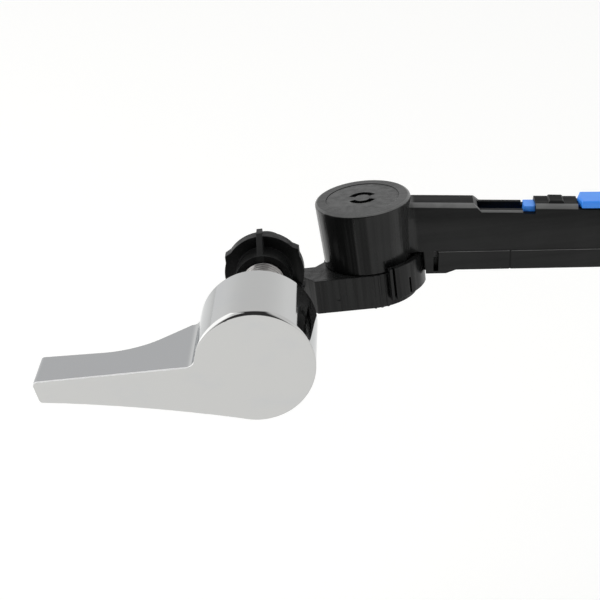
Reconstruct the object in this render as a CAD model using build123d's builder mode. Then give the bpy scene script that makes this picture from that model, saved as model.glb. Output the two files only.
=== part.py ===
from build123d import *
import os
from math import asin, cos, degrees, radians, sin, sqrt, tan

# A cistern lever: a chromed handle turns a spindle in a threaded bush that is clamped to the tank wall, and
# inside the tank a crank on the spindle carries a swivelling arm with a sliding extension.
# Millimetres. +X runs along the arm, +Y into the tank, +Z up. The origin is on the spindle's axis, at the
# outer face of the tank wall.

os.makedirs("parts", exist_ok=True)

# Clearances
running_gap = 0.06
sliding_gap = 0.1
loose_gap = 0.3

# Handle: a round hub with a lever to its left
hub_radius = 18.0
hub_depth = 28.3
wall_gap = 0.8
lever_reach = 66.4
lever_top = 1.8
tip_height = 7.1
tip_slant = 1.4
tip_depth = 14.6
tip_splay = 3.0
tip_round = 1.3
flank_angle = 15.0
junction_round = 2.6
sweep_angle = 40.0
sweep_round = 25.0
sweep_margin = 2.5
front_round = 0.35
crown_round = 1.9
crown_radius = 20.05
crown_drop = 2.0
crown_sweep = 150.0
handle_wall = 2.4
handle_face = 3.0
boss_radius = 8.0
boss_gap = 1.5
grub_radius = 2.0
grub_length = 3.6
key_hole_radius = 2.6

# Bush: flange with a stop window, square shoulder and threaded shank
bush_flange_radius = 13.5
bush_flange_thickness = 3.5
stop_depth = 3.5
shank_radius = 7.0
shank_length = 48.0
shank_chamfer = 0.8
shoulder_square = 15.8
shoulder_length = 4.0
wall_washer_radius = 13.2
wall_washer_thickness = 1.5

# Stop that limits the handle's turn
handle_turn = 38.0
stop_angle = 70.0
stop_rib_width = 3.0
stop_rib_inner = 9.2
stop_slack = 1.0

# Spindle: square head in the handle, round journal in the bush, square tail in the crank
spindle_radius = 4.5
head_square = 8.0
tail_square = 6.2
end_play = 0.4

# Clamp nut: threaded sleeve, back flange and gusset ribs
nut_front = 29.5
nut_length = 11.5
nut_sleeve_radius = 9.3
nut_flange_radius = 13.0
nut_flange_thickness = 4.0
nut_rib_count = 3
nut_rib_width = 1.9
nut_rib_stand = 1.1
nut_corner_stand = 1.0
nut_corner_size = 3.0

# Crank: hub on the spindle's tail, neck and round pad with the swivel post
pivot_x = 33.9
pivot_y = 57.8
crank_hub_radius = 7.5
crank_hub_length = 6.1
neck_thickness = 4.5
neck_turn = 30.0
neck_reach = 9.5
shoulder_reach = 15.5
pad_radius = 15.4
pad_top = -7.5
pad_height = 11.8
pad_plate = 3.0
pad_wall = 2.2
mark_reach = 22.8
mark_drop = 7.2
mark_radius = 0.6
mark_depth = 0.25
pad_rib_count = 6
pad_rib_angle = 14.0
post_radius = 5.5
post_height = 10.5
post_wall = 1.8
crank_screw_radius = 2.0
crank_screw_head_radius = 3.6
crank_screw_head_height = 2.5
crank_screw_head_round = 0.8
crank_screw_slot = 0.7
crank_screw_grip = 11.0
crank_washer_radius = 6.0
crank_washer_thickness = 1.0

# Stops and grip marks on the pad's rim
tab_radius = 18.6
tab_rise = 2.4
tab_drop = 8.7
tab_wall = 1.9
tab_gap = 0.9
front_tab_start = -68.5
front_tab_end = -10.0
back_tab_sweep = 22.0
arm_swing = 90.0
slit_width = 0.9
slit_depth = 1.6
slit_rise = 6.0
slit_angle = -46.4
rim_rib_width = 0.7
rim_rib_stand = 0.4
rim_rib_start = -88.0
rim_rib_pitch = 8.0
rim_rib_count = 3

# Arm sleeve: a drum that turns on the post, and a tapered box arm that droops from it
drum_top = 14.6
drum_top_radius = 16.05
drum_base_radius = 15.0
drum_round = 1.0
drum_bore_radius = 11.3
drum_floor = 3.6
drum_boss_radius = 9.0
drum_boss_height = 9.2
cap_radius = 12.2
cap_thickness = 2.0
cap_recess = 0.15
cap_slot_inner = 2.7
cap_slot_outer = 4.8
cap_slot_sweep = 130.0
arm_droop = 6.0
arm_taper = 0.88
arm_root_top = 14.3
arm_root_bottom = -9.7
arm_width = 9.3
arm_lean = 1.5
lean_drop = 7.0
lean_round = 20.0
arm_round = 2.2
sleeve_length = 112.0
sleeve_wall = 1.6
collar_reach = 30.5
collar_slope = 3.8
collar_drop = 1.4
collar_slot_reach = 23.3
collar_slot_width = 1.6
collar_slot_height = 7.2
collar_slot_lift = 0.9
arm_lift = 2.8
cavity_start = 22.0
notch_start = 35.5
notch_depth = 2.0
notch_round = 1.0
strap_start = 56.0
strap_length = 14.0
strap_thickness = 0.9
strap_bump_start = 4.0
strap_bump_length = 5.9
strap_bump_width = 6.0
strap_bump_height = 0.75
strap_bump_round = 0.4
window_length = 4.2
window_depth = 1.0
lip_length = 18.0
lip_width = 0.7
mouth_drop = 1.5
skirt_height = 6.6
skirt_stand = 0.35
skirt_round = 0.25
seam_width = 0.5
seam_reach = 48.0

# Extension arm that slides in the sleeve
extend_travel = 20.0
bar_start = 36.0
bar_end = 150.0
bar_top = 4.0
bar_bottom = -6.9
bar_round = 3.0
heel_length = 7.5
heel_drop = 1.4
hook_length = 3.6
neck_half_width = 2.1
thumb_length = 26.0
thumb_height = 2.4
thumb_nose = 1.3
thumb_round = 0.6
chain_hole_radius = 1.6
chain_hole_count = 3
chain_hole_pitch = 8.0
chain_hole_margin = 4.5

# Swivel fastening under the drum's cap
spring_washer_thickness = 0.9
spring_washer_inner = 5.9
spring_washer_outer = 8.8
spring_washer_split = 18.0
pivot_washer_radius = 9.2
pivot_washer_thickness = 1.2
pivot_screw_radius = 1.9
pivot_screw_head_radius = 4.4
pivot_screw_head_height = 3.0
pivot_screw_head_round = 1.0
pivot_screw_slot = 0.65
pivot_screw_grip = 17.0


def at_depth(y):
    """Upright plane at a depth y, seen from the front; a negative extrusion goes back into the tank"""
    return Plane.XZ.offset(-y)


def about_spindle(turn, drop=0.0):
    """Plane through an axis at a drop below the spindle's: local x runs along +Y, and local y points out
    at a turn from +Z to +X"""
    facing = (cos(radians(turn)), 0, -sin(radians(turn)))
    return Plane(origin=(0, 0, -drop), x_dir=(0, 1, 0), z_dir=facing)


def ring_sector(inner, outer, start, sweep):
    """Face between two radii about the sketch's origin, from a start angle through a sweep"""
    with BuildSketch(mode=Mode.PRIVATE) as sector:
        with BuildLine():
            outside = CenterArc((0, 0), outer, start, sweep)
            inside = CenterArc((0, 0), inner, start, sweep)
            Line(inside @ 0, outside @ 0)
            Line(inside @ 1, outside @ 1)
        make_face()
    return sector.sketch


def over_pivot(z):
    """Level plane centred on the swivel's axis"""
    return Plane(origin=(pivot_x, pivot_y, z), x_dir=(1, 0, 0), z_dir=(0, 0, 1))


# Depths along the spindle
handle_back = -wall_gap
handle_front = handle_back - hub_depth
flange_back = -wall_washer_thickness
flange_front = flange_back - bush_flange_thickness
bush_front = flange_front - stop_depth
boss_back = bush_front - boss_gap
crank_front = shank_length + end_play
crank_back = crank_front + crank_hub_length
grub_depth = (handle_front + handle_face + boss_back) / 2

# Chromed handle
tip_top = (-lever_reach, lever_top)
tip_bottom = (-lever_reach + tip_slant, lever_top - tip_height)
flank_foot = (-hub_radius * sin(radians(flank_angle)), -hub_radius * cos(radians(flank_angle)))
flank_run = (-cos(radians(flank_angle)), sin(radians(flank_angle)))
hub_corner = (-sqrt(hub_radius**2 - lever_top**2), lever_top)

with BuildSketch() as handle_outline:
    Circle(hub_radius)
    with BuildLine():
        Polyline((0, lever_top), tip_top, tip_bottom)
        TangentArc(flank_foot, tip_bottom, tangent=flank_run)
        Line(flank_foot, (0, lever_top))
    make_face()
    fillet(handle_outline.vertices().sort_by_distance(tip_top)[0], radius=tip_round)
    fillet(handle_outline.vertices().sort_by_distance(tip_bottom)[0], radius=tip_round)
    fillet(handle_outline.vertices().sort_by_distance(hub_corner)[0], radius=junction_round)

lever_back = handle_front + tip_depth
sweep_foot = -(hub_radius + sweep_margin)
sweep_corner = (sweep_foot - (handle_back - lever_back) / tan(radians(sweep_angle)), lever_back)
beyond_tip = -lever_reach - hub_radius
tip_back = lever_back + (sweep_corner[0] - beyond_tip) * tan(radians(tip_splay))
beyond_back = handle_back + hub_depth
sweep_out = (sweep_foot + (beyond_back - handle_back) / tan(radians(sweep_angle)), beyond_back)

with BuildPart() as handle:
    with BuildSketch(at_depth(handle_front)):
        add(handle_outline.sketch)
    extrude(amount=-hub_depth)
    with BuildSketch():
        with BuildLine():
            FilletPolyline((beyond_tip, tip_back), sweep_corner, sweep_out, radius=sweep_round)
            Polyline(sweep_out, (beyond_tip, beyond_back), (beyond_tip, tip_back))
        make_face()
    extrude(amount=hub_radius * 2, both=True, mode=Mode.SUBTRACT)
    fillet(handle.faces().sort_by(Axis.Y)[0].edges(), radius=front_round)
    # Crown: a round-over about an axis below the spindle's, widest at the top of the hub
    with BuildSketch(about_spindle(-crown_sweep / 2, crown_drop)):
        with BuildLine():
            crown = CenterArc((handle_front + crown_round, crown_radius - crown_round), crown_round, 90, 90)
            Polyline(
                crown @ 1,
                (handle_front - crown_round, crown_radius - crown_round),
                (handle_front - crown_round, crown_radius + crown_round),
                (handle_front + crown_round, crown_radius + crown_round),
                crown @ 0,
            )
        make_face()
    revolve(axis=Axis((0, 0, -crown_drop), (0, 1, 0)), revolution_arc=crown_sweep, mode=Mode.SUBTRACT)
    with BuildSketch(at_depth(handle_front + handle_face)):
        add(handle_outline.sketch)
        offset(amount=-handle_wall)
    extrude(amount=-hub_depth, mode=Mode.SUBTRACT)
    with BuildSketch(at_depth(handle_front + handle_face)):
        Circle(boss_radius)
        Rectangle(head_square + 2 * sliding_gap, head_square + 2 * sliding_gap, mode=Mode.SUBTRACT)
    extrude(amount=handle_front + handle_face - boss_back)
    rib_span = hub_radius - handle_wall / 2 - stop_rib_inner
    with BuildSketch(at_depth(handle_front + handle_face)):
        with PolarLocations(stop_rib_inner + rib_span / 2, 1, start_angle=stop_angle):
            Rectangle(rib_span, stop_rib_width)
    extrude(amount=handle_front + handle_face - flange_front + loose_gap)
    with BuildSketch(Plane.XY.offset(-hub_radius - handle_wall)):
        with Locations((0, grub_depth)):
            Circle(key_hole_radius)
    extrude(amount=hub_radius - boss_radius, mode=Mode.SUBTRACT)
    with BuildSketch(Plane.XY.offset(-boss_radius - handle_wall)):
        with Locations((0, grub_depth)):
            Circle(grub_radius + running_gap)
    extrude(amount=boss_radius, mode=Mode.SUBTRACT)
handle.part.label = "handle"
export_step(handle.part, "parts/handle.step")

# Grub screw that holds the handle on the spindle's square head
with BuildPart() as handle_grub_screw:
    with BuildSketch(Plane.XY.offset(-head_square / 2 - grub_length)):
        with Locations((0, grub_depth)):
            Circle(grub_radius)
    extrude(amount=grub_length)
    with BuildSketch(Plane.XY.offset(-head_square / 2 - grub_length)):
        with Locations((0, grub_depth)):
            RegularPolygon(grub_radius / 2, 6)
    extrude(amount=grub_length / 2, mode=Mode.SUBTRACT)
handle_grub_screw.part.label = "handle_grub_screw"
export_step(handle_grub_screw.part, "parts/handle_grub_screw.step")

# Spindle
head_front = handle_front + handle_face
head_back = bush_front - loose_gap
tail_back = crank_back - loose_gap
with BuildPart() as spindle:
    with BuildSketch(at_depth(head_front)):
        Rectangle(head_square, head_square)
    extrude(amount=head_front - head_back)
    with BuildSketch(at_depth(head_back)):
        Circle(spindle_radius)
    extrude(amount=head_back - crank_front)
    with BuildSketch(at_depth(crank_front)):
        Rectangle(tail_square, tail_square)
    extrude(amount=crank_front - tail_back)
    with BuildSketch(at_depth(tail_back)):
        Circle(crank_screw_radius)
    extrude(amount=crank_screw_grip + loose_gap, mode=Mode.SUBTRACT)
spindle.part.label = "spindle"
export_step(spindle.part, "parts/spindle.step")

# Threaded bush with its flange, stop window and square shoulder
rib_half_angle = degrees(asin(stop_rib_width / 2 / stop_rib_inner))
window_start = stop_angle - rib_half_angle - stop_slack
window_sweep = handle_turn + 2 * (rib_half_angle + stop_slack)
with BuildPart() as threaded_bush:
    with BuildSketch(at_depth(bush_front)):
        Circle(bush_flange_radius)
    extrude(amount=bush_front - flange_back)
    with BuildSketch(at_depth(flange_back)):
        Rectangle(shoulder_square, shoulder_square)
    extrude(amount=flange_back - shoulder_length)
    with BuildSketch(at_depth(flange_back)):
        Circle(shank_radius)
    extrude(amount=flange_back - shank_length)
    chamfer(threaded_bush.faces().sort_by(Axis.Y)[-1].edges(), length=shank_chamfer)
    with BuildSketch(at_depth(bush_front)):
        Circle(spindle_radius + running_gap)
    extrude(amount=bush_front - shank_length, mode=Mode.SUBTRACT)
    with BuildSketch(at_depth(bush_front)):
        window_floor = stop_rib_inner - 2 * loose_gap
        add(ring_sector(window_floor, bush_flange_radius + loose_gap, window_start, window_sweep))
    extrude(amount=-stop_depth, mode=Mode.SUBTRACT)
threaded_bush.part.label = "threaded_bush"
export_step(threaded_bush.part, "parts/threaded_bush.step")

# Rubber washer between the flange and the tank wall
with BuildPart() as wall_washer:
    with BuildSketch(at_depth(flange_back)):
        Circle(wall_washer_radius)
        Rectangle(shoulder_square + 2 * sliding_gap, shoulder_square + 2 * sliding_gap, mode=Mode.SUBTRACT)
    extrude(amount=-wall_washer_thickness)
wall_washer.part.label = "wall_washer"
export_step(wall_washer.part, "parts/wall_washer.step")

# Clamp nut: a sleeve with a back flange, braced by gusset ribs that stand past the rim
nut_back = nut_front + nut_length
nut_flange_front = nut_back - nut_flange_thickness
rib_outer = nut_flange_radius + nut_rib_stand
corner_middle = nut_flange_radius + nut_corner_stand - nut_corner_size
with BuildPart() as clamp_nut:
    with BuildSketch(at_depth(nut_front)):
        Circle(nut_sleeve_radius)
    extrude(amount=-nut_length)
    with BuildSketch(at_depth(nut_flange_front)):
        Circle(nut_flange_radius)
        with PolarLocations(corner_middle, nut_rib_count, start_angle=90 + 180 / nut_rib_count):
            RegularPolygon(nut_corner_size, 6)
    extrude(amount=-nut_flange_thickness)
    for rib in range(nut_rib_count):
        with BuildSketch(about_spindle(rib * 360 / nut_rib_count)):
            with BuildLine():
                Polyline(
                    (nut_front + nut_rib_stand, shank_radius + nut_rib_stand),
                    (nut_front + nut_rib_stand, nut_sleeve_radius),
                    (nut_flange_front, rib_outer),
                    (nut_back, rib_outer),
                    (nut_back, shank_radius + nut_rib_stand),
                    close=True,
                )
            make_face()
        extrude(amount=nut_rib_width / 2, both=True)
    with BuildSketch(at_depth(nut_front)):
        Circle(shank_radius + sliding_gap)
    extrude(amount=-nut_length, mode=Mode.SUBTRACT)
clamp_nut.part.label = "clamp_nut"
export_step(clamp_nut.part, "parts/clamp_nut.step")

# Crank: the pad and neck are one moulding with the hub and the swivel post
pad_bottom = pad_top - pad_height
neck_front = crank_back - neck_thickness
pad_front = pivot_y - pad_radius
post_top = pad_top + post_height
tab_bottom = pad_top - tab_drop
front_tab_sweep = front_tab_end - front_tab_start
back_tab_start = arm_swing - front_tab_end
post_core = post_radius + post_wall
with BuildPart() as crank:
    with BuildSketch(Plane.XY.offset(pad_bottom)):
        with Locations((pivot_x, pivot_y)):
            Circle(pad_radius)
        with BuildLine():
            Polyline(
                (pivot_x, pad_front),
                (shoulder_reach, pad_front),
                (neck_reach, neck_front),
                (neck_reach, crank_back),
                (shoulder_reach, crank_back),
                (pivot_x - pad_radius, pivot_y),
                (pivot_x, pivot_y),
                close=True,
            )
        make_face()
    extrude(amount=pad_height)
    with BuildSketch(at_depth(crank_front)):
        Circle(crank_hub_radius)
    extrude(amount=-crank_hub_length)
    with BuildSketch(at_depth(neck_front)):
        with BuildLine():
            Polyline(
                (0, crank_hub_radius),
                (crank_hub_radius * cos(radians(neck_turn)), crank_hub_radius * sin(radians(neck_turn))),
                (neck_reach, pad_top),
                (shoulder_reach, pad_top),
                (shoulder_reach, pad_bottom),
                (neck_reach, pad_bottom),
                (-crank_hub_radius * sin(radians(neck_turn)), -crank_hub_radius * cos(radians(neck_turn))),
                close=True,
            )
        make_face()
    extrude(amount=-neck_thickness)
    with BuildSketch(over_pivot(tab_bottom)):
        add(ring_sector(pad_radius - pad_wall / 2, tab_radius, front_tab_start, front_tab_sweep))
        add(ring_sector(pad_radius - pad_wall / 2, tab_radius, back_tab_start, back_tab_sweep))
    extrude(amount=tab_drop)
    with BuildSketch(over_pivot(pad_top)):
        add(ring_sector(tab_radius - tab_wall, tab_radius, front_tab_start, front_tab_sweep))
    extrude(amount=tab_rise)
    slit_start = front_tab_start + degrees(slit_width / tab_radius)
    slit_sweep = degrees(slit_width / tab_radius)
    with BuildSketch(over_pivot(tab_bottom)):
        add(ring_sector(tab_radius - slit_depth, tab_radius + slit_depth, slit_start, slit_sweep))
    extrude(amount=tab_drop + tab_rise, mode=Mode.SUBTRACT)
    with BuildSketch(over_pivot(tab_bottom)):
        add(ring_sector(tab_radius - slit_depth, tab_radius + slit_depth, slit_angle, slit_sweep))
    extrude(amount=slit_rise, mode=Mode.SUBTRACT)
    with BuildSketch(over_pivot(pad_bottom)):
        for rib in range(rim_rib_count):
            rib_start = rim_rib_start + rib * rim_rib_pitch
            add(ring_sector(pad_radius - pad_wall / 2, pad_radius + rim_rib_stand,
                            rib_start, degrees(rim_rib_width / pad_radius)))
    extrude(amount=pad_height)
    with BuildSketch(over_pivot(pad_top)):
        Circle(post_radius)
    extrude(amount=post_height)
    with BuildSketch(at_depth(pad_front)):
        with Locations((mark_reach, pad_top - mark_drop)):
            Circle(mark_radius)
    extrude(amount=-mark_depth, mode=Mode.SUBTRACT)
    pocket_pitch = 360 / pad_rib_count
    with BuildSketch(over_pivot(pad_bottom)):
        for pocket in range(pad_rib_count):
            pocket_start = pocket * pocket_pitch
            add(ring_sector(post_core, pad_radius - pad_wall, pocket_start, pocket_pitch - pad_rib_angle))
    extrude(amount=pad_height - pad_plate, mode=Mode.SUBTRACT)
    with BuildSketch(over_pivot(post_top)):
        Circle(pivot_screw_radius + running_gap)
    extrude(amount=-pivot_screw_grip - loose_gap, mode=Mode.SUBTRACT)
    with BuildSketch(at_depth(crank_front)):
        Rectangle(tail_square + 2 * sliding_gap, tail_square + 2 * sliding_gap)
    extrude(amount=-crank_hub_length, mode=Mode.SUBTRACT)
crank.part.label = "crank"
export_step(crank.part, "parts/crank.step")

# Washer and screw that hold the crank on the spindle's tail
with BuildPart() as crank_washer:
    with BuildSketch(at_depth(crank_back)):
        Circle(crank_washer_radius)
        Circle(crank_screw_radius + running_gap, mode=Mode.SUBTRACT)
    extrude(amount=-crank_washer_thickness)
crank_washer.part.label = "crank_washer"
export_step(crank_washer.part, "parts/crank_washer.step")

screw_seat = crank_back + crank_washer_thickness
with BuildPart() as crank_screw:
    with BuildSketch(at_depth(screw_seat)):
        Circle(crank_screw_head_radius)
    extrude(amount=-crank_screw_head_height)
    fillet(crank_screw.faces().sort_by(Axis.Y)[-1].edges(), radius=crank_screw_head_round)
    with BuildSketch(at_depth(screw_seat + crank_screw_head_height)):
        Rectangle(crank_screw_head_radius, crank_screw_slot)
        Rectangle(crank_screw_slot, crank_screw_head_radius)
    extrude(amount=crank_screw_head_height / 2, mode=Mode.SUBTRACT)
    with BuildSketch(at_depth(screw_seat)):
        Circle(crank_screw_radius - running_gap)
    extrude(amount=crank_screw_grip)
crank_screw.part.label = "crank_screw"
export_step(crank_screw.part, "parts/crank_screw.step")

# Arm sleeve: its own plane runs down the middle of the drooping arm
arm_along = (cos(radians(arm_droop)), 0, -sin(radians(arm_droop)))
arm_up = (sin(radians(arm_droop)), 0, cos(radians(arm_droop)))
arm_middle = (arm_root_top + arm_root_bottom) / 2
arm_plane = Plane(origin=(pivot_x, pivot_y, arm_middle), x_dir=arm_along, z_dir=(0, -1, 0))
root_half = (arm_root_top - arm_root_bottom) / 2 * cos(radians(arm_droop))
half_width = arm_width / 2
side_half = half_width + arm_lean
cavity_half = half_width - sleeve_wall


def half_height(along):
    """Half of the arm's height at a distance along it from the swivel"""
    return root_half - along * tan(radians(arm_taper))


strap_end = strap_start + strap_length
strap_under = half_height(strap_end) - strap_thickness
strap_middle = strap_under + strap_thickness / 2
channel_floor = bar_bottom - loose_gap
heel_floor = channel_floor - heel_drop
heel_stop = bar_start + heel_length + extend_travel + loose_gap
lip_start = sleeve_length - lip_length
lip_under = bar_top + loose_gap
lip_clear = cavity_half - lip_width
far_end = sleeve_length + sleeve_wall
above = root_half + sleeve_wall
wall_start = drum_bore_radius + (drum_base_radius - drum_bore_radius) / 2
drum_bottom = pad_top + loose_gap
floor_top = drum_bottom + drum_floor
boss_top = drum_bottom + drum_boss_height
cap_bottom = drum_top - cap_recess - cap_thickness
cap_seat_radius = cap_radius + running_gap
arm_underside = pad_top + arm_lift
tab_clear_radius = tab_radius + tab_gap
stop_face = -front_tab_end - degrees(sliding_gap / tab_radius)
tab_clear_sweep = 90 - stop_face
below = pad_height + tab_drop
collar_bottom = -half_height(collar_slot_reach) - collar_drop
collar_slot_middle = collar_bottom + collar_slot_lift + collar_slot_height / 2
skirt_start = collar_slot_reach + collar_slot_width / 2
lean_foot = half_height(drum_bore_radius) - lean_drop
lean_head = side_half - arm_lean * (above - lean_foot) / lean_drop
arm_section = Plane(origin=arm_plane.origin, x_dir=(0, 1, 0), z_dir=arm_along)
notch_middle = (notch_start + strap_start) / 2
skirt_half = side_half + skirt_stand
skirt_top = skirt_height - half_height(notch_middle)
notch_top = half_height(notch_middle) - notch_depth
notch_half = side_half - arm_lean * (notch_top - lean_foot) / lean_drop

with BuildPart() as arm_sleeve:
    with BuildSketch(arm_plane):
        with BuildLine():
            Polyline(
                (drum_bore_radius, half_height(drum_bore_radius)),
                (sleeve_length, half_height(sleeve_length)),
                (sleeve_length, -half_height(sleeve_length)),
                (collar_reach, -half_height(collar_reach)),
                (collar_reach - collar_slope, -half_height(collar_reach - collar_slope) - collar_drop),
                (drum_bore_radius, -half_height(drum_bore_radius) - collar_drop),
                close=True,
            )
        make_face()
    extrude(amount=side_half, both=True)
    # Upper walls lean in to a rounded top
    with BuildSketch(arm_section):
        for side in (-1, 1):
            with BuildLine():
                Polyline(
                    (side * side_half, lean_foot),
                    (side * lean_head, above),
                    (side * (side_half + sleeve_wall), above),
                    (side * (side_half + sleeve_wall), lean_foot),
                    close=True,
                )
            make_face()
    extrude(amount=far_end, mode=Mode.SUBTRACT)
    for side in (-1, 1):
        lean_edge = arm_plane.from_local_coords((notch_middle, lean_foot, side * side_half))
        fillet(arm_sleeve.edges().sort_by_distance(lean_edge)[0], radius=lean_round)
    fillet(arm_sleeve.faces().sort_by(Axis.Z)[-1].edges().sort_by(SortBy.LENGTH)[-2:], radius=arm_round)
    # Skirt: the lower walls stand out a little from the collar to the mouth
    with BuildSketch(arm_plane):
        with BuildLine():
            Polyline(
                (skirt_start, -half_height(skirt_start)),
                (sleeve_length, -half_height(sleeve_length)),
                (sleeve_length, skirt_height - half_height(sleeve_length)),
                (skirt_start, skirt_height - half_height(skirt_start)),
                close=True,
            )
        make_face()
    extrude(amount=skirt_half, both=True)
    for side in (-1, 1):
        skirt_edge = arm_plane.from_local_coords((notch_middle, skirt_top, side * skirt_half))
        fillet(arm_sleeve.edges().sort_by_distance(skirt_edge)[0], radius=skirt_round)
    with BuildSketch(over_pivot(drum_bottom)):
        Circle(wall_start)
    extrude(amount=below + drum_top, both=True, mode=Mode.SUBTRACT)
    with BuildSketch(over_pivot(drum_bottom)):
        Circle(pad_radius + loose_gap)
    extrude(amount=-below, mode=Mode.SUBTRACT)
    with BuildSketch(over_pivot(arm_underside)):
        add(ring_sector(wall_start, tab_clear_radius, stop_face, tab_clear_sweep))
        add(ring_sector(wall_start, tab_clear_radius, -90, tab_clear_sweep))
    extrude(amount=-below, mode=Mode.SUBTRACT)
    with BuildSketch(Plane(origin=(pivot_x, pivot_y, 0), x_dir=(1, 0, 0), z_dir=(0, -1, 0))) as drum_section:
        with BuildLine():
            Polyline(
                (post_radius + running_gap, drum_bottom),
                (drum_base_radius, drum_bottom),
                (drum_top_radius, drum_top),
                (cap_seat_radius, drum_top),
                (cap_seat_radius, cap_bottom),
                (drum_bore_radius, cap_bottom),
                (drum_bore_radius, floor_top),
                (drum_boss_radius, floor_top),
                (drum_boss_radius, boss_top),
                (post_radius + running_gap, boss_top),
                close=True,
            )
        make_face()
        fillet(drum_section.vertices().sort_by_distance((drum_top_radius, drum_top))[0], radius=drum_round)
    revolve(axis=Axis((pivot_x, pivot_y, 0), (0, 0, 1)))
    # Hollow for the extension arm, with the step that stops its heel
    with BuildSketch(arm_plane):
        with BuildLine():
            Polyline(
                (cavity_start, heel_floor),
                (heel_stop, heel_floor),
                (heel_stop, channel_floor),
                (far_end, channel_floor),
                (far_end, lip_under),
                (lip_start, lip_under),
                (lip_start, strap_under),
                (cavity_start, strap_under),
                close=True,
            )
        make_face()
    extrude(amount=cavity_half, both=True, mode=Mode.SUBTRACT)
    # Walls lowered in the notch, at the hook's window and from the strap to the mouth
    with BuildSketch(arm_plane):
        with BuildLine():
            Polyline(
                (notch_start, above),
                (notch_start, half_height(notch_start)),
                (notch_start + notch_depth, half_height(notch_start + notch_depth) - notch_depth),
                (strap_start - window_length, half_height(strap_start - window_length) - notch_depth),
                (strap_start - window_length, half_height(strap_start) - notch_depth - window_depth),
                (strap_start, half_height(strap_start) - notch_depth - window_depth),
                (strap_start, above),
                close=True,
            )
        make_face()
        with BuildLine():
            Polyline(
                (strap_end, above),
                (strap_end, half_height(strap_end) - mouth_drop),
                (far_end, half_height(far_end) - mouth_drop),
                (far_end, above),
                close=True,
            )
        make_face()
    extrude(amount=side_half + loose_gap, both=True, mode=Mode.SUBTRACT)
    for side in (-1, 1):
        notch_edge = arm_plane.from_local_coords((notch_middle, notch_top, side * notch_half))
        fillet(arm_sleeve.edges().sort_by_distance(notch_edge)[0], radius=notch_round)
    with BuildSketch(arm_plane):
        with BuildLine():
            Polyline(
                (notch_start + notch_depth, strap_under - sliding_gap),
                (notch_start + notch_depth, above),
                (strap_start, above),
                (strap_start, strap_under - sliding_gap),
                close=True,
            )
        make_face()
        with BuildLine():
            Polyline(
                (strap_end, strap_under - mouth_drop),
                (strap_end, above),
                (lip_start, above),
                (lip_start, strap_under - mouth_drop),
                close=True,
            )
        make_face()
    extrude(amount=cavity_half, both=True, mode=Mode.SUBTRACT)
    with BuildSketch(arm_plane):
        with BuildLine():
            Polyline(
                (lip_start - sliding_gap, lip_under - sliding_gap),
                (lip_start - sliding_gap, above),
                (far_end, above),
                (far_end, lip_under - sliding_gap),
                close=True,
            )
        make_face()
    extrude(amount=lip_clear, both=True, mode=Mode.SUBTRACT)
    # Bump on the strap
    bump_start = strap_start + strap_bump_start
    bump_end = bump_start + strap_bump_length
    with BuildSketch(arm_plane):
        with BuildLine():
            Polyline(
                (bump_start, strap_middle),
                (bump_start + strap_bump_height, half_height(bump_start) + strap_bump_height),
                (bump_end - strap_bump_height, half_height(bump_end) + strap_bump_height),
                (bump_end, strap_middle),
                close=True,
            )
        make_face()
    extrude(amount=strap_bump_width / 2, both=True)
    bump_middle = (bump_start + bump_end) / 2
    bump_top = arm_plane.from_local_coords((bump_middle, half_height(bump_middle) + strap_bump_height, 0))
    fillet(arm_sleeve.faces().sort_by_distance(bump_top)[0].edges(), radius=strap_bump_round)
    # A slot through both side walls at the collar, and a short seam across the skirt
    for side in (-1, 1):
        with BuildSketch(arm_plane.offset(side * (cavity_half - loose_gap))):
            with Locations((collar_slot_reach, collar_slot_middle)):
                Rectangle(collar_slot_width, collar_slot_height)
        extrude(amount=side * side_half, mode=Mode.SUBTRACT)
        with BuildSketch(arm_plane.offset(side * side_half)):
            with Locations((seam_reach, skirt_height / 2 - half_height(seam_reach))):
                Rectangle(seam_width, 2 * skirt_height)
        extrude(amount=side * 2 * skirt_stand, mode=Mode.SUBTRACT)
arm_sleeve.part.label = "arm_sleeve"
export_step(arm_sleeve.part, "parts/arm_sleeve.step")

# Cap that closes the drum, with two arc slots for turning it out
with BuildPart() as drum_cap:
    with BuildSketch(over_pivot(cap_bottom)):
        Circle(cap_radius)
        for slot in range(2):
            slot_start = 90 - cap_slot_sweep / 2 + slot * 180
            add(ring_sector(cap_slot_inner, cap_slot_outer, slot_start, cap_slot_sweep), mode=Mode.SUBTRACT)
    extrude(amount=cap_thickness)
drum_cap.part.label = "drum_cap"
export_step(drum_cap.part, "parts/drum_cap.step")

# Split spring washer, flat washer and screw that hold the drum down on the post
with BuildPart() as pivot_spring_washer:
    with BuildSketch(over_pivot(boss_top)):
        add(ring_sector(spring_washer_inner, spring_washer_outer, 0, 360 - spring_washer_split))
    extrude(amount=spring_washer_thickness)
pivot_spring_washer.part.label = "pivot_spring_washer"
export_step(pivot_spring_washer.part, "parts/pivot_spring_washer.step")

with BuildPart() as pivot_washer:
    with BuildSketch(over_pivot(post_top)):
        Circle(pivot_washer_radius)
        Circle(pivot_screw_radius + running_gap, mode=Mode.SUBTRACT)
    extrude(amount=pivot_washer_thickness)
pivot_washer.part.label = "pivot_washer"
export_step(pivot_washer.part, "parts/pivot_washer.step")

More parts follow.
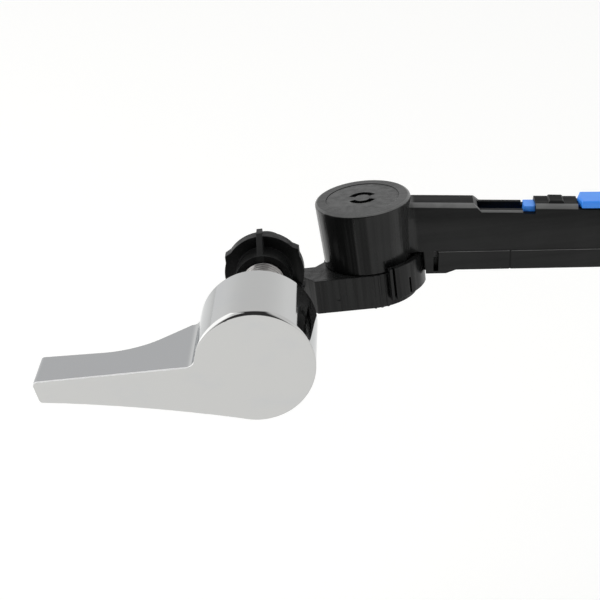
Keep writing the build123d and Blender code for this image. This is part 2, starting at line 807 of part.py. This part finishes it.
pivot_seat = post_top + pivot_washer_thickness
pivot_crown = pivot_seat + pivot_screw_head_height
with BuildPart() as pivot_screw:
    with BuildSketch(over_pivot(pivot_seat)):
        Circle(pivot_screw_head_radius)
    extrude(amount=pivot_screw_head_height)
    fillet(pivot_screw.faces().sort_by(Axis.Z)[-1].edges(), radius=pivot_screw_head_round)
    with BuildSketch(over_pivot(pivot_crown)):
        Rectangle(pivot_screw_head_radius, pivot_screw_slot)
        Rectangle(pivot_screw_slot, pivot_screw_head_radius)
    extrude(amount=-pivot_screw_head_height / 2, mode=Mode.SUBTRACT)
    with BuildSketch(over_pivot(pivot_seat)):
        Circle(pivot_screw_radius)
    extrude(amount=-pivot_screw_grip)
pivot_screw.part.label = "pivot_screw"
export_step(pivot_screw.part, "parts/pivot_screw.step")

# Extension arm: a bar with a heel, a hook behind the strap, and a thumb block in front of it
hook_start = strap_start - sliding_gap - hook_length
neck_top = strap_under - sliding_gap
thumb_start = strap_end + sliding_gap
thumb_end = thumb_start + thumb_length
thumb_under = half_height(strap_end) - mouth_drop + loose_gap
thumb_plane = Plane(origin=arm_plane.from_local_coords((0, thumb_under, 0)), x_dir=arm_along, z_dir=arm_up)
bar_half = cavity_half - sliding_gap
with BuildPart() as extension_arm:
    with BuildSketch(arm_plane) as bar_side:
        with BuildLine():
            Polyline(
                (bar_start, bar_bottom - heel_drop),
                (bar_start + heel_length, bar_bottom - heel_drop),
                (bar_start + heel_length, bar_bottom),
                (bar_end, bar_bottom),
                (bar_end, bar_top),
                (bar_start, bar_top),
                close=True,
            )
        make_face()
        fillet(bar_side.vertices().sort_by_distance((bar_end, bar_bottom))[0], radius=bar_round)
        fillet(bar_side.vertices().sort_by_distance((bar_end, bar_top))[0], radius=bar_round)
        for hole in range(chain_hole_count):
            hole_reach = bar_end - chain_hole_margin - hole * chain_hole_pitch
            with Locations((hole_reach, (bar_top + bar_bottom) / 2)):
                Circle(chain_hole_radius, mode=Mode.SUBTRACT)
    extrude(amount=bar_half, both=True)
    with BuildSketch(arm_plane):
        with BuildLine():
            Polyline(
                (hook_start, bar_top - loose_gap),
                (hook_start, neck_top),
                (strap_end - sliding_gap, neck_top),
                (thumb_start + thumb_nose, thumb_under + loose_gap),
                (thumb_end, thumb_under + loose_gap),
                (thumb_end, bar_top - loose_gap),
                close=True,
            )
        make_face()
    extrude(amount=neck_half_width, both=True)
    with BuildSketch(arm_plane):
        with BuildLine():
            Polyline(
                (hook_start, bar_top - loose_gap),
                (hook_start, neck_top),
                (hook_start + hook_length, neck_top),
                (hook_start + hook_length, bar_top - loose_gap),
                close=True,
            )
        make_face()
    extrude(amount=bar_half, both=True)
    with BuildSketch(thumb_plane):
        with BuildLine():
            Polyline(
                (thumb_start, 0),
                (thumb_start + thumb_nose, half_width),
                (thumb_end, half_width),
                (thumb_end, -half_width),
                (thumb_start + thumb_nose, -half_width),
                close=True,
            )
        make_face()
    extrude(amount=thumb_height)
    fillet(extension_arm.faces().sort_by(Axis(arm_plane.origin, arm_up))[-1].edges(), radius=thumb_round)
extension_arm.part.label = "extension_arm"
export_step(extension_arm.part, "parts/extension_arm.step")
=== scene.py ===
from math import cos, radians, sin

import bpy
import numpy as np
from mathutils import Matrix, Vector


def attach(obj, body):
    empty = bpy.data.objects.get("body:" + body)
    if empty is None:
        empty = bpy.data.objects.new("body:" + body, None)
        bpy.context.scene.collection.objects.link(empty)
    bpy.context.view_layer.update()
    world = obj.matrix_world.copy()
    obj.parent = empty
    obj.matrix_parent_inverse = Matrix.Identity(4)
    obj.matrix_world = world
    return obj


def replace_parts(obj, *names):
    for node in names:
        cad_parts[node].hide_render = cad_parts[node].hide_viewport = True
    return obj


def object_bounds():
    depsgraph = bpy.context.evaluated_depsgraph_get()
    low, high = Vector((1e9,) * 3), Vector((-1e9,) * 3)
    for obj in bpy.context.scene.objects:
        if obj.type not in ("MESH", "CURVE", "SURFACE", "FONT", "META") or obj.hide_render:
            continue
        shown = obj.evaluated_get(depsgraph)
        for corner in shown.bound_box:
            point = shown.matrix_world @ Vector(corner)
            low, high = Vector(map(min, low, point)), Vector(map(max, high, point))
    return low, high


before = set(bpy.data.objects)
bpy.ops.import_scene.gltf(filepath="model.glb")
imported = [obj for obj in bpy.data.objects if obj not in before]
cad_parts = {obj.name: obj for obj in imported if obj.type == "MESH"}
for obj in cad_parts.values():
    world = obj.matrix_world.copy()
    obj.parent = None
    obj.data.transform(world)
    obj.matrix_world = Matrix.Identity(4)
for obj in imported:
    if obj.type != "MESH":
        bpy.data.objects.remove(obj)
cad_box = [list(corner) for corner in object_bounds()]

# Camera, in metres and degrees, from the photograph's perspective
AIM = Vector((0.01231, 0.01315, 0.00012))
DISTANCE = 0.5341
AZIMUTH = radians(4.65)
ELEVATION = radians(24.94)
ROLL = radians(7.67)
LENS = 102.0
SENSOR = 36.0
NEAREST = 0.01

# Studio: floor and lamp in metres and watts, and the room's dim parts as spans of a direction's X, Y or Z
FLOOR_DROP = 0.16
FLOOR_SPAN = 14.0
FLOOR_PALE = (0.82, 0.82, 0.808, 1.0)
FLOOR_LIFT = (0.28, 0.28, 0.28, 1.0)
FLOOR_UNLIT = (0.0, 0.0, 0.0, 1.0)
PAPER_BLOBS = 900.0
PAPER_HEIGHT = 0.00002
DARK_ACROSS = (-0.45, 0.33)
DARK_ACROSS_SOFT = 0.1
DARK_UP = (0.0, 0.95)
DARK_UP_SOFT = 0.05
DARK_FRONT = (-0.2, 0.0)
DARK_SHARE = 0.95
CEILING_SPAN = (0.15, 0.45)
CEILING_SHARE = 0.16
LAMP_PLACE = (-1.52, -0.42, 1.06)
LAMP_TARGET = (0.03, 0.02, 0.0)
LAMP_SIDE = 2.8
LAMP_POWER = 22.0

# Swivel axis and the bush's sizes, in metres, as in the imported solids
PIVOT = (0.0339, 0.0578)
SPINDLE_BORE = 0.00456
FLANGE_RADIUS = 0.0135
FLANGE_FRONT = -0.0085
WINDOW_BACK = -0.0050
WINDOW_RADIUS = 0.0086
WINDOW_ANGLES = (59.6, 118.4)
FLANGE_BACK = -0.0015
SHOULDER_HALF = 0.0079
SHOULDER_CORNER = 0.0108
SHOULDER_BACK = 0.0040
THREAD_CREST = 0.0070
THREAD_ROOT = 0.0064
THREAD_PITCH = 0.00175
THREAD_END = 0.0480
THREAD_CHAMFER = 0.0008
RIDGE_SLOPE = 2.4
RIDGE_LOSS = 0.7
ROWS_TO_A_PITCH = 10
DEGREES_TO_A_STEP = 3.0
SHARP_ANGLE = radians(35.0)

# Finishes, in linear colour
CHROME_BRIGHT = (0.56, 0.56, 0.553, 1.0)
CHROME_DULL = (0.543, 0.547, 0.55, 1.0)
CHROME_EDGE = (0.80, 0.81, 0.82, 1.0)
# painted highlight: a pale colour that stands for a bright line along the lever's upper front edge
CHROME_PAINTED_HIGHLIGHT = (0.95, 0.95, 0.95, 1.0)
# painted shade: a darker colour that stands for a dim reflection on the lever's top
CHROME_PAINTED_SHADE = (0.472, 0.478, 0.484, 1.0)
BLACK_DEEP = (0.0028, 0.0030, 0.0030, 1.0)
BLACK_WORN = (0.015, 0.016, 0.016, 1.0)
# painted highlight: the paler black given to upward edges, level tops and the nut's rib
BLACK_PAINTED_HIGHLIGHT = (0.195, 0.197, 0.195, 1.0)
BLUE_DEEP = (0.045, 0.29, 1.00, 1.0)
BLUE_PALE = (0.085, 0.37, 1.00, 1.0)
RUBBER_DARK = (0.018, 0.018, 0.019, 1.0)
RUBBER_DUSTY = (0.06, 0.058, 0.055, 1.0)
ZINC_BRIGHT = (0.39, 0.38, 0.37, 1.0)
ZINC_DULL = (0.26, 0.25, 0.245, 1.0)
STEEL_BRIGHT = (0.47, 0.46, 0.45, 1.0)
STEEL_DULL = (0.29, 0.28, 0.27, 1.0)

# Patterns of the finishes: blobs to the metre, one number for each axis where a pattern is drawn out
SMEAR_STRETCH = (1.0, 1.0, 1.8)
SMEAR_BLOBS = 70.0
HAIRLINE_BLOBS = (60.0, 900.0, 1400.0)
RIPPLE_BLOBS = 420.0
FLOW_BLOBS = 90.0
RUBBING_BLOBS = 700.0
GRAIN_BLOBS = 3800.0
UPRIGHT_BLOBS = (420.0, 420.0, 12.0)
ALONG_ARM_BLOBS = (14.0, 420.0, 420.0)
ROUND_DRUM_BLOBS = 9.0
BLUE_STREAK_BLOBS = (60.0, 260.0, 260.0)
BLUE_GRAIN_BLOBS = 3200.0
DUST_BLOBS = 260.0
RUBBER_GRAIN_BLOBS = 2600.0
TARNISH_BLOBS = 180.0
TURNING_BLOBS = (300.0, 5200.0, 300.0)

# Heights of the bumps that the patterns make, and radii of softened edges, in metres
RIPPLE_HEIGHT = 0.000004
GRAIN_HEIGHT = 0.000008
STREAK_HEIGHT = 0.00003
BLUE_GRAIN_HEIGHT = 0.00001
RUBBER_GRAIN_HEIGHT = 0.00003
TURNING_HEIGHT = 0.000008
BLACK_EDGE_RADIUS = 0.0003
BLUE_EDGE_RADIUS = 0.00035
METAL_EDGE_RADIUS = 0.00025
EDGE_SAMPLES = 6

# Where the lever goes over into the hub, and the roughness added to its upper front edge under the painted
# highlight
HUB_START = (-0.0205, -0.0185)
HIGHLIGHT_EDGE_ROUGHNESS = 0.9

# How much of the painted highlight the crank keeps, the nut's dullness, and its top rib's width and painted
# highlight
CRANK_HIGHLIGHT_SHARE = 0.15
NUT_DULL = 0.5
RIB_SPAN = (-0.0012, 0.0012)
RIB_SOFT = 0.0001
RIB_PAINTED_HIGHLIGHT = 0.05

# Gloss of the black plastic's two skins
GLOSSY_LEVEL = 0.33
DULL_LEVEL = 0.045

# Painted dark and grey reflections and a painted sheen patch on the drum, as angles about the swivel axis
# from +X
PAINTED_DARK_REFLECTION = (radians(-143.0), radians(-103.0))
PAINTED_GREY_REFLECTION = (radians(-101.0), radians(-87.0))
# painted sheen: a paler patch on the drum towards the arm
PAINTED_SHEEN_PATCH = (radians(-49.0), radians(26.0))

# Where the drum goes over into the arm, the arm's fall in a metre, and where its top and shoulders begin
ARM_START = (0.0155, 0.0175)
ARM_FALL = 0.105
ARM_TOP_START = (0.003, 0.006)
SHOULDER_START = (0.003, 0.0036)


class Wire:
    """An output socket of a node tree. Arithmetic between wires and numbers adds Math nodes."""

    def __init__(self, tree, socket=None):
        self.tree = tree
        self.socket = socket

    def node(self, kind, settings, values, out=0):
        """Adds a node: its own settings go first, then its sockets get numbers, colours or wires."""
        made = self.tree.nodes.new("ShaderNode" + kind)
        for name, setting in settings.items():
            setattr(made, name, setting)
        for name, value in values.items():
            if isinstance(value, Wire):
                self.tree.links.new(value.socket, made.inputs[name])
            else:
                made.inputs[name].default_value = value
        return Wire(self.tree, made.outputs[out])

    def maths(self, operation, first, second):
        return self.node("Math", {"operation": operation}, {0: first, 1: second})

    def __add__(self, other):
        return self.maths("ADD", self, other)

    __radd__ = __add__

    def __mul__(self, other):
        return self.maths("MULTIPLY", self, other)

    __rmul__ = __mul__

    def __sub__(self, other):
        return self.maths("SUBTRACT", self, other)

    def __rsub__(self, other):
        return self.maths("SUBTRACT", other, self)

    def __abs__(self):
        return self.node("Math", {"operation": "ABSOLUTE"}, {0: self})

    def axis(self, letter):
        """One coordinate of a vector."""
        return self.node("SeparateXYZ", {}, {"Vector": self}, out=letter)

    def between(self, low, high):
        """Goes smoothly from 0 at low to 1 at high."""
        return self.node("MapRange", {"interpolation_type": "SMOOTHSTEP"},
                         {"Value": self, "From Min": low, "From Max": high})

    def within(self, span, soft):
        """1 inside a span and 0 outside it, with soft ends."""
        low, high = span
        return self.between(low - soft, low + soft) * (1 - self.between(high - soft, high + soft))

    def dot(self, direction):
        """This vector's share along a direction."""
        return self.node("VectorMath", {"operation": "DOT_PRODUCT"}, {0: self, 1: direction}, out="Value")

    def stretched(self, scale):
        """These coordinates multiplied by a scale for each axis."""
        return self.node("Mapping", {}, {"Vector": self, "Scale": scale})

    def noise(self, scale, detail=3.0, rough=0.55):
        """Cloudy noise at these coordinates, with a number of blobs to the metre."""
        return self.node("TexNoise", {},
                         {"Vector": self, "Scale": scale, "Detail": detail, "Roughness": rough})

    def tint(self, first, second):
        """A colour that goes from the first to the second as this value goes from 0 to 1."""
        return self.node("Mix", {"data_type": "RGBA"}, {0: self, 6: first, 7: second}, out=2)

    def bumped(self, height, normal=None):
        """A surface normal that follows this height, in metres at a value of 1."""
        values = {"Height": self, "Distance": height}
        if normal is not None:
            values["Normal"] = normal
        return self.node("Bump", {}, values)

    def shader(self, **values):
        """A surface shader with these sockets set. An underscore in a name stands for a space."""
        return self.node("BsdfPrincipled", {},
                         {name.replace("_", " "): value for name, value in values.items()})


def new_finish(name):
    """A material without a shader, and the object coordinates that every pattern on it reads."""
    material = bpy.data.materials.new(name)
    material.use_nodes = True
    tree = material.node_tree
    tree.nodes.remove(tree.nodes["Principled BSDF"])
    return material, Wire(tree).node("TexCoord", {}, {}, out="Object")


def show(material, shader):
    """Makes a shader the surface of its material."""
    tree = material.node_tree
    tree.links.new(shader.socket, tree.nodes["Material Output"].inputs["Surface"])
    return material


def facing(place):
    """The surface's own normal."""
    return place.node("NewGeometry", {}, {}, out="Normal")


def soft_edge(place, radius):
    """A normal rounded over sharp edges within a radius, and a mask that is 1 on those edges."""
    rounded = place.node("Bevel", {"samples": EDGE_SAMPLES}, {"Radius": radius})
    return rounded, (1 - rounded.dot(facing(place))).between(0.01, 0.12)


def lever_marks(place):
    """A mask that is 1 on the rounded edge between the lever's front and its top, as far as the hub, where a
    highlight is painted, and one that is 1 on that top, where a darker reflection is painted."""
    normal = place.node("TexCoord", {}, {}, out="Normal")
    forward = 1 - normal.axis("Y").between(-0.3, -0.1)
    upward = normal.axis("Z")
    on_lever = 1 - place.axis("X").between(*HUB_START)
    edge = on_lever * forward * upward.between(0.05, 0.2)
    return edge, on_lever * (1 - forward) * upward.between(0.3, 0.6)


def chrome_finish():
    """Bright plating: faint handling smears, hairline scratches, a slight orange-peel ripple, a painted
    highlight on one edge, which is also made rough, and a painted darker reflection on the lever's top."""
    material, place = new_finish("chrome_plating")
    smears = place.stretched(SMEAR_STRETCH).noise(SMEAR_BLOBS, detail=6.0).between(0.48, 0.78)
    hairlines = place.stretched(HAIRLINE_BLOBS).noise(1.0, detail=2.0).between(0.66, 0.72)
    ripple = place.noise(RIPPLE_BLOBS, detail=1.0)
    edge_wear_and_highlight, painted_dark_top = lever_marks(place)
    # painted shade on the lever's top, as a darker plating colour
    plating = painted_dark_top.tint(smears.tint(CHROME_BRIGHT, CHROME_DULL), CHROME_PAINTED_SHADE)
    return show(material, place.shader(
        # painted highlight on the lever's upper front edge, as a pale rough colour
        Metallic=1.0, Base_Color=edge_wear_and_highlight.tint(plating, CHROME_PAINTED_HIGHLIGHT), Specular_Tint=CHROME_EDGE,
        Roughness=0.045 + 0.03 * smears + 0.05 * hairlines + HIGHLIGHT_EDGE_ROUGHNESS * edge_wear_and_highlight,
        Normal=ripple.bumped(RIPPLE_HEIGHT)))


def black_plastic_finish(name, marks_of):
    """Moulded black plastic: a glossy skin that goes dull where the marks say, over fine grain, cloudy flow
    lines and worn edges. The marks are draw streaks, a dullness, which on the drum holds painted dark
    reflections, and a painted highlight, each from 0 to 1, and the glossy skin's roughness."""
    material, place = new_finish(name)
    streaks, dullness, painted_highlight, satin = marks_of(place)
    rounded, edges = soft_edge(place, BLACK_EDGE_RADIUS)
    flow = place.noise(FLOW_BLOBS, detail=5.0).between(0.4, 0.7)
    edge_wear_and_highlight = edges * place.noise(RUBBING_BLOBS, detail=3.0).between(0.35, 0.65)
    grain = place.noise(GRAIN_BLOBS, detail=2.0)
    plain = ((0.25 * flow + 0.2 * streaks + 0.55 * edge_wear_and_highlight) * (1 - dullness)).tint(BLACK_DEEP, BLACK_WORN)
    # painted highlight: upward edges and tops tinted paler
    colour = (painted_highlight * (0.75 + 0.25 * flow)).tint(plain, BLACK_PAINTED_HIGHLIGHT)
    normal = streaks.bumped(STREAK_HEIGHT, grain.bumped(GRAIN_HEIGHT, rounded))
    glossy = place.shader(Base_Color=colour, Normal=normal, Roughness=satin + 0.1 * grain,
                          Specular_IOR_Level=GLOSSY_LEVEL)
    dull = place.shader(Base_Color=colour, Normal=normal, Roughness=0.5 + 0.1 * grain,
                        Specular_IOR_Level=DULL_LEVEL)
    return show(material, place.node("MixShader", {}, {0: dullness, 1: glossy, 2: dull}))


def sloping(place):
    """A mask that is 1 on rounded edges that slope upwards, and one that is 1 on level tops."""
    slope = facing(place).axis("Z")
    level = slope.between(0.96, 0.995)
    return slope.between(0.3, 0.5) * (1 - level), level


def upright_marks(place):
    """Draw marks of a mould that opens upwards: noise that hardly changes with height, duller where the
    noise is strong, with a painted highlight on upward-sloping edges and level tops."""
    streaks = place.stretched(UPRIGHT_BLOBS).noise(1.0, detail=3.0).between(0.3, 0.7)
    edges, tops = sloping(place)
    # painted highlight on upward-sloping edges and level tops
    return streaks, 0.1 + 0.4 * streaks, 0.14 * edges + 0.3 * tops, 0.2


def crank_marks(place):
    """Upright marks with only a little of their painted highlight."""
    streaks, dullness, painted_highlight, satin = upright_marks(place)
    return streaks, dullness, CRANK_HIGHLIGHT_SHARE * painted_highlight, satin


def nut_marks(place):
    """As on the crank, with a duller skin and a painted highlight on the rib at the top."""
    streaks, dullness, painted_highlight, satin = crank_marks(place)
    rib = place.axis("X").within(RIB_SPAN, RIB_SOFT)
    # painted highlight on the top rib
    return streaks, NUT_DULL + (1 - NUT_DULL) * dullness, painted_highlight + RIB_PAINTED_HIGHLIGHT * rib, satin


def arm_marks(place):
    """Upright marks, painted highlights on sloping edges and level tops, a painted sheen patch and two dull
    bands round the drum that are painted dark reflections; beyond it, marks along the arm, which falls away
    from the drum, a dull top and a painted highlight on its shoulders' upward edges."""
    from_pivot_x = place.axis("X") - PIVOT[0]
    from_pivot_y = place.axis("Y") - PIVOT[1]
    turn = place.maths("ARCTAN2", from_pivot_y, from_pivot_x)
    on_arm = from_pivot_x.between(*ARM_START)
    round_drum = place.node("TexNoise", {"noise_dimensions": "1D"},
                            {"W": turn, "Scale": ROUND_DRUM_BLOBS, "Detail": 4.0})
    along_arm = place.stretched(ALONG_ARM_BLOBS).noise(1.0, detail=3.0)
    streaks = (round_drum + on_arm * (along_arm - round_drum)).between(0.3, 0.7)
    # painted reflections: a dark band and a grey band, made as dull, darker skin
    painted_reflection_bands = 0.8 * turn.within(PAINTED_DARK_REFLECTION, 0.03) + 0.45 * turn.within(PAINTED_GREY_REFLECTION, 0.03)
    edges, tops = sloping(place)
    high = (place.axis("Z") + ARM_FALL * from_pivot_x).between(*ARM_TOP_START)
    drum_dull = (1 - tops) * (0.2 * streaks + painted_reflection_bands) + 0.4 * tops
    arm_dull = 0.1 + 0.2 * streaks + 0.6 * tops * (0.4 + 0.6 * high)
    shoulders = abs(from_pivot_y).between(*SHOULDER_START)
    # painted highlights on sloping edges and level tops, and a painted sheen patch
    drum_painted_highlight = 0.7 * edges + 0.3 * tops + 0.12 * turn.within(PAINTED_SHEEN_PATCH, 0.25)
    painted_highlight = drum_painted_highlight + on_arm * (0.9 * edges * shoulders - drum_painted_highlight)
    return streaks, drum_dull + on_arm * (arm_dull - drum_dull), painted_highlight, 0.13 + 0.24 * on_arm


def blue_plastic_finish():
    """Moulded bright blue plastic: slightly glossier, with pale flow streaks along the arm."""
    material, place = new_finish("moulded_blue_plastic")
    rounded, edges = soft_edge(place, BLUE_EDGE_RADIUS)
    streaks = place.stretched(BLUE_STREAK_BLOBS).noise(1.0, detail=4.0).between(0.35, 0.75)
    grain = place.noise(BLUE_GRAIN_BLOBS, detail=2.0)
    return show(material, place.shader(
        Base_Color=(0.6 * streaks + 0.4 * edges).tint(BLUE_DEEP, BLUE_PALE),
        Roughness=0.34 + 0.08 * streaks + 0.05 * grain, Normal=grain.bumped(BLUE_GRAIN_HEIGHT, rounded)))


def rubber_finish():
    """Dull black rubber with a little dust."""
    material, place = new_finish("washer_rubber")
    dust = place.noise(DUST_BLOBS, detail=6.0).between(0.5, 0.8)
    grain = place.noise(RUBBER_GRAIN_BLOBS, detail=3.0)
    return show(material, place.shader(
        Base_Color=dust.tint(RUBBER_DARK, RUBBER_DUSTY), Roughness=0.72 + 0.18 * dust,
        Normal=grain.bumped(RUBBER_GRAIN_HEIGHT)))


def metal_finish(name, bright, dull, roughness):
    """Turned or cast metal: cloudy tarnish, fine turning marks and soft bright edges."""
    material, place = new_finish(name)
    rounded, edges = soft_edge(place, METAL_EDGE_RADIUS)
    tarnish = place.noise(TARNISH_BLOBS, detail=6.0).between(0.35, 0.75)
    turning = place.stretched(TURNING_BLOBS).noise(1.0, detail=1.0)
    cloud = tarnish * (1 - 0.7 * edges)
    return show(material, place.shader(
        Metallic=1.0, Base_Color=cloud.tint(bright, dull),
        Roughness=roughness + 0.16 * cloud + 0.06 * turning,
        Normal=turning.bumped(TURNING_HEIGHT, rounded)))


def dress(nodes, material):
    """Gives CAD nodes a finish in place of the plain one that they were packed with."""
    for name in nodes:
        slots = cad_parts[name].data.materials
        slots.clear()
        slots.append(material)


dress(["handle"], chrome_finish())
dress(["drum_cap"], black_plastic_finish("moulded_black_plastic", upright_marks))
dress(["crank"], black_plastic_finish("moulded_black_crank", crank_marks))
dress(["clamp_nut"], black_plastic_finish("moulded_black_nut", nut_marks))
dress(["arm_sleeve"], black_plastic_finish("moulded_black_arm", arm_marks))
dress(["extension_arm"], blue_plastic_finish())
dress(["wall_washer"], rubber_finish())
zinc = metal_finish("cast_zinc", ZINC_BRIGHT, ZINC_DULL, 0.26)
dress(["threaded_bush"], zinc)
dress(["spindle", "handle_grub_screw", "crank_washer", "crank_screw", "pivot_washer", "pivot_screw",
       "pivot_spring_washer"], metal_finish("plated_steel", STEEL_BRIGHT, STEEL_DULL, 0.22))


def grid_piece(name, points, body, material):
    """A closed surface from a grid of points that wraps round in both directions, riding on a body."""
    rows, columns = points.shape[:2]
    index = np.arange(rows * columns).reshape(rows, columns)
    right = np.roll(index, -1, axis=1)
    quads = np.stack([index, right, np.roll(right, -1, axis=0), np.roll(index, -1, axis=0)], axis=-1)
    mesh = bpy.data.meshes.new(name)
    mesh.from_pydata(points.reshape(-1, 3).tolist(), [], quads.reshape(-1, 4).tolist())
    mesh.polygons.foreach_set("use_smooth", np.ones(len(mesh.polygons), dtype=bool))
    mesh.set_sharp_from_angle(angle=SHARP_ANGLE)
    mesh.materials.append(material)
    piece = bpy.data.objects.new(name, mesh)
    bpy.context.scene.collection.objects.link(piece)
    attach(piece, body)
    return piece


def bush_points():
    """The bush as one surface r(angle, station): out along the flange's front, whose radius drops inside the
    stop window, over the flange and the square shoulder, along the shank, where r rises and falls with
    depth / pitch + angle / 360, and back through the bore."""
    angle = np.radians(np.arange(0.0, 360.0, DEGREES_TO_A_STEP))[None, :]
    degrees_round = np.degrees(angle)
    in_window = (degrees_round > WINDOW_ANGLES[0]) & (degrees_round < WINDOW_ANGLES[1])
    window = np.where(in_window, WINDOW_RADIUS, FLANGE_RADIUS)
    flat_sides = SHOULDER_HALF / np.maximum(abs(np.cos(angle)), abs(np.sin(angle)))
    square = np.minimum(flat_sides, SHOULDER_CORNER)
    level = np.ones_like(angle)
    thread_rows = int((THREAD_END - SHOULDER_BACK) / THREAD_PITCH * ROWS_TO_A_PITCH)
    depth = np.linspace(SHOULDER_BACK, THREAD_END, thread_rows)[:, None]
    phase = (depth / THREAD_PITCH + angle / (2.0 * np.pi)) % 1.0
    ridge = np.clip(RIDGE_SLOPE * abs(2.0 * phase - 1.0) - RIDGE_LOSS, 0.0, 1.0)
    run_out = np.clip((depth - SHOULDER_BACK) / THREAD_PITCH, 0.0, 1.0)
    thread = THREAD_ROOT + (THREAD_CREST - THREAD_ROOT) * ridge * run_out
    thread = np.minimum(thread, THREAD_CREST - THREAD_CHAMFER + (THREAD_END - depth))
    head = [(FLANGE_FRONT, SPINDLE_BORE * level), (FLANGE_FRONT, window), (WINDOW_BACK, window),
            (WINDOW_BACK, FLANGE_RADIUS * level), (FLANGE_BACK, FLANGE_RADIUS * level),
            (FLANGE_BACK, square), (SHOULDER_BACK, square)]
    depths = np.concatenate([[[y] for y, _ in head], depth, [[THREAD_END]]])
    radii = np.concatenate([radius for _, radius in head] + [thread, SPINDLE_BORE * level])
    return np.stack([radii * np.cos(angle), depths + 0.0 * radii, radii * np.sin(angle)], axis=-1)


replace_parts(grid_piece("bush_with_thread", bush_points(), "mounting", zinc), "threaded_bush")


def photo_camera():
    """Camera on the photograph's line of sight, turned about that line by the photograph's tilt."""
    back = Vector((sin(AZIMUTH) * cos(ELEVATION), -cos(AZIMUTH) * cos(ELEVATION), sin(ELEVATION)))
    level = Vector((cos(AZIMUTH), sin(AZIMUTH), 0.0))
    upright = back.cross(level)
    side = level * cos(ROLL) - upright * sin(ROLL)
    head = level * sin(ROLL) + upright * cos(ROLL)
    lens = bpy.data.cameras.new("photo_camera")
    lens.lens = LENS
    lens.sensor_width = SENSOR
    lens.clip_start = NEAREST
    camera = bpy.data.objects.new("photo_camera", lens)
    placed = Matrix((side, head, back)).transposed().to_4x4()
    placed.translation = AIM + back * DISTANCE
    camera.matrix_world = placed
    bpy.context.scene.collection.objects.link(camera)
    bpy.context.scene.camera = camera


def looked_at(place):
    """1 for rays from the camera and for those that metal or glass sends on, and 0 for other light."""
    camera, glossy, through = [place.node("LightPath", {}, {}, out="Is %s Ray" % kind)
                               for kind in ("Camera", "Glossy", "Transmission")]
    return camera.maths("MAXIMUM", camera, glossy.maths("MAXIMUM", glossy, through))


def pale_floor():
    """A wide pale floor under the part, which takes its shadow and is lifted to white where it is seen."""
    low = cad_box[0][2] - FLOOR_DROP
    reach = FLOOR_SPAN / 2
    corners = [(-reach, -reach, low), (reach, -reach, low), (reach, reach, low), (-reach, reach, low)]
    mesh = bpy.data.meshes.new("floor")
    mesh.from_pydata(corners, [], [(0, 1, 2, 3)])
    material, place = new_finish("floor_paper")
    paper = place.noise(PAPER_BLOBS, detail=2.0)
    glow = looked_at(place).tint(FLOOR_UNLIT, FLOOR_LIFT)
    mesh.materials.append(show(material, place.shader(
        Base_Color=FLOOR_PALE, Roughness=0.95, Specular_IOR_Level=0.0,
        Emission_Color=glow, Emission_Strength=1.0, Normal=paper.bumped(PAPER_HEIGHT))))
    floor = bpy.data.objects.new("floor", mesh)
    bpy.context.scene.collection.objects.link(floor)


def softbox():
    """A large square lamp on the left, facing the part."""
    lamp = bpy.data.lights.new("softbox_left", "AREA")
    lamp.shape = "SQUARE"
    lamp.size = LAMP_SIDE
    lamp.energy = LAMP_POWER
    held = bpy.data.objects.new("softbox_left", lamp)
    held.location = LAMP_PLACE
    held.rotation_euler = (Vector(LAMP_TARGET) - Vector(LAMP_PLACE)).to_track_quat("-Z", "Y").to_euler()
    bpy.context.scene.collection.objects.link(held)


def studio_world():
    """White walls all round, which the camera, metal and the rest of the light see alike. The ceiling is a
    little dimmer, and there is a dark opening behind the camera's place; the camera sees both as white."""
    world = bpy.data.worlds.new("studio")
    world.use_nodes = True
    bpy.context.scene.world = world
    tree = world.node_tree
    sky = Wire(tree).node("TexCoord", {}, {}, out="Generated")
    in_camera = sky.node("LightPath", {}, {}, out="Is Camera Ray")
    ceiling = 1 - CEILING_SHARE * sky.axis("Z").between(*CEILING_SPAN)
    in_front = 1 - sky.axis("Y").between(*DARK_FRONT)
    across = sky.axis("X").within(DARK_ACROSS, DARK_ACROSS_SOFT)
    dark = in_front * across * sky.axis("Z").within(DARK_UP, DARK_UP_SOFT)
    room = ceiling * (1 - DARK_SHARE * dark)
    shown = in_camera + room - in_camera * room
    background = tree.nodes["Background"]
    tree.links.new(shown.socket, background.inputs["Color"])
    background.inputs["Strength"].default_value = 1.0


photo_camera()
pale_floor()
studio_world()
softbox()

bpy.context.scene.view_settings.view_transform = "Standard"
